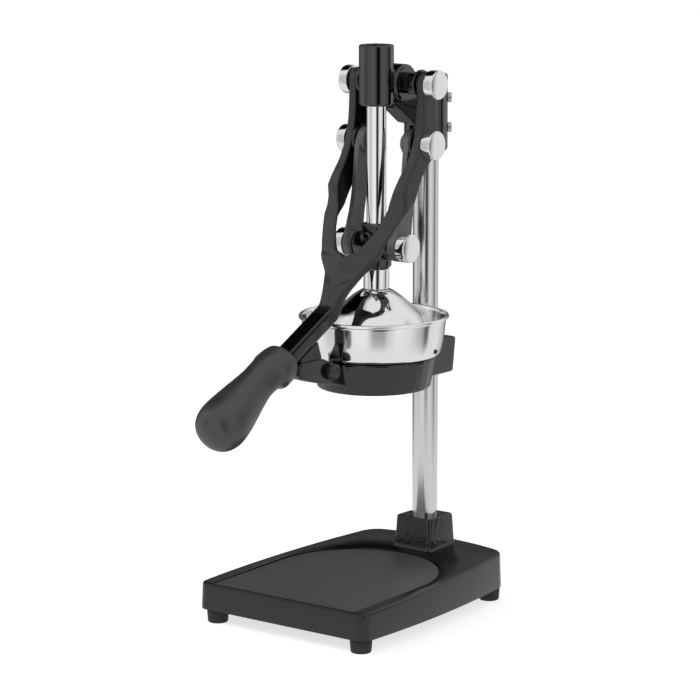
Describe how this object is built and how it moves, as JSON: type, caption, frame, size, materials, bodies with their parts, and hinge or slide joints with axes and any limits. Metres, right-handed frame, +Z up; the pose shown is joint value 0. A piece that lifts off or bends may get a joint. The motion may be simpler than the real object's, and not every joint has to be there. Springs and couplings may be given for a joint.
{
  "type": "lever citrus juice press",
  "caption": "Table-top citrus press: a fork lever and links push a bell on a rod down into a steel cup over a glass rest.",
  "frame": {"origin": "middle of the footprint's bounding box, on the table under the feet", "axes": "+Z up, -Y the front where the lever hangs, +X the right as seen from the front"},
  "size_m": [0.181, 0.3246, 0.486],
  "materials": {
    "enamel": "black gloss enamel on cast metal",
    "chrome": "polished",
    "steel": "satin stainless steel",
    "zinc": "zinc plated",
    "bronze": "turned bearing bronze",
    "grip_rubber": "matt",
    "foot_rubber": "matt"
  },
  "bodies": {
    "stand": {"base": "enamel", "foot_front_left": "foot_rubber", "foot_front_right": "foot_rubber", "foot_rear_left": "foot_rubber", "foot_rear_right": "foot_rubber", "foot_screw_front_left": "zinc", "foot_screw_front_right": "zinc", "foot_screw_rear_left": "zinc", "foot_screw_rear_right": "zinc", "column": "chrome", "column_bolt": "zinc", "column_washer": "zinc", "head_casting": "enamel", "head_clamp_screw_upper": "zinc", "head_clamp_screw_lower": "zinc", "guide_bush": "bronze", "upper_shaft": "steel", "upper_cap_left": "chrome", "upper_cap_right": "chrome", "upper_spacer_left": "enamel", "upper_spacer_right": "enamel", "upper_washer_left": "enamel", "upper_washer_right": "enamel", "ring_bracket": "enamel", "collar_clamp_screw": "zinc", "rest_pad": "grip_rubber", "rest_screw": "enamel", "rest_nut": "zinc", "steel_cup": "chrome", "cup_rivet_left": "enamel", "cup_rivet_right": "enamel", "strainer": "steel"},
    "lever": {"fork_lever": "enamel", "grip": "grip_rubber", "mid_pin_left": "steel", "mid_pin_right": "steel", "mid_cap_left": "chrome", "mid_cap_right": "chrome", "mid_washer_left": "enamel", "mid_washer_right": "enamel"},
    "links": {"link_left": "enamel", "link_right": "enamel", "lower_pin_left": "steel", "lower_pin_right": "steel", "lower_cap_left": "chrome", "lower_cap_right": "chrome"},
    "press": {"crosshead": "enamel", "crosshead_screw": "enamel", "press_rod": "chrome", "rod_sleeve": "chrome", "press_bell": "chrome", "bell_washer": "steel", "bell_nut": "steel"}
  },
  "joints": [
    {"name": "lever_lift", "type": "hinge", "parent": "stand", "child": "lever", "pos_m": [0, 0.08504, 0.453], "axis": [-1, 0, 0], "range_deg": [0, 110]},
    {"name": "link_swing", "type": "hinge", "parent": "lever", "child": "links", "pos_m": [0, 0.08174, 0.40251], "axis": [-1, 0, 0], "range_deg": [-139, 0]},
    {"name": "press_slide", "type": "slide", "parent": "stand", "child": "press", "axis": [0, 0, 1], "range_m": [0, 0.0725]}
  ],
  "couplings": [
    {"joint": "link_swing", "follows": "lever_lift", "ratio": -1.2565},
    {"joint": "press_slide", "follows": "lever_lift", "m_per_rad": 0.037463}
  ]
}
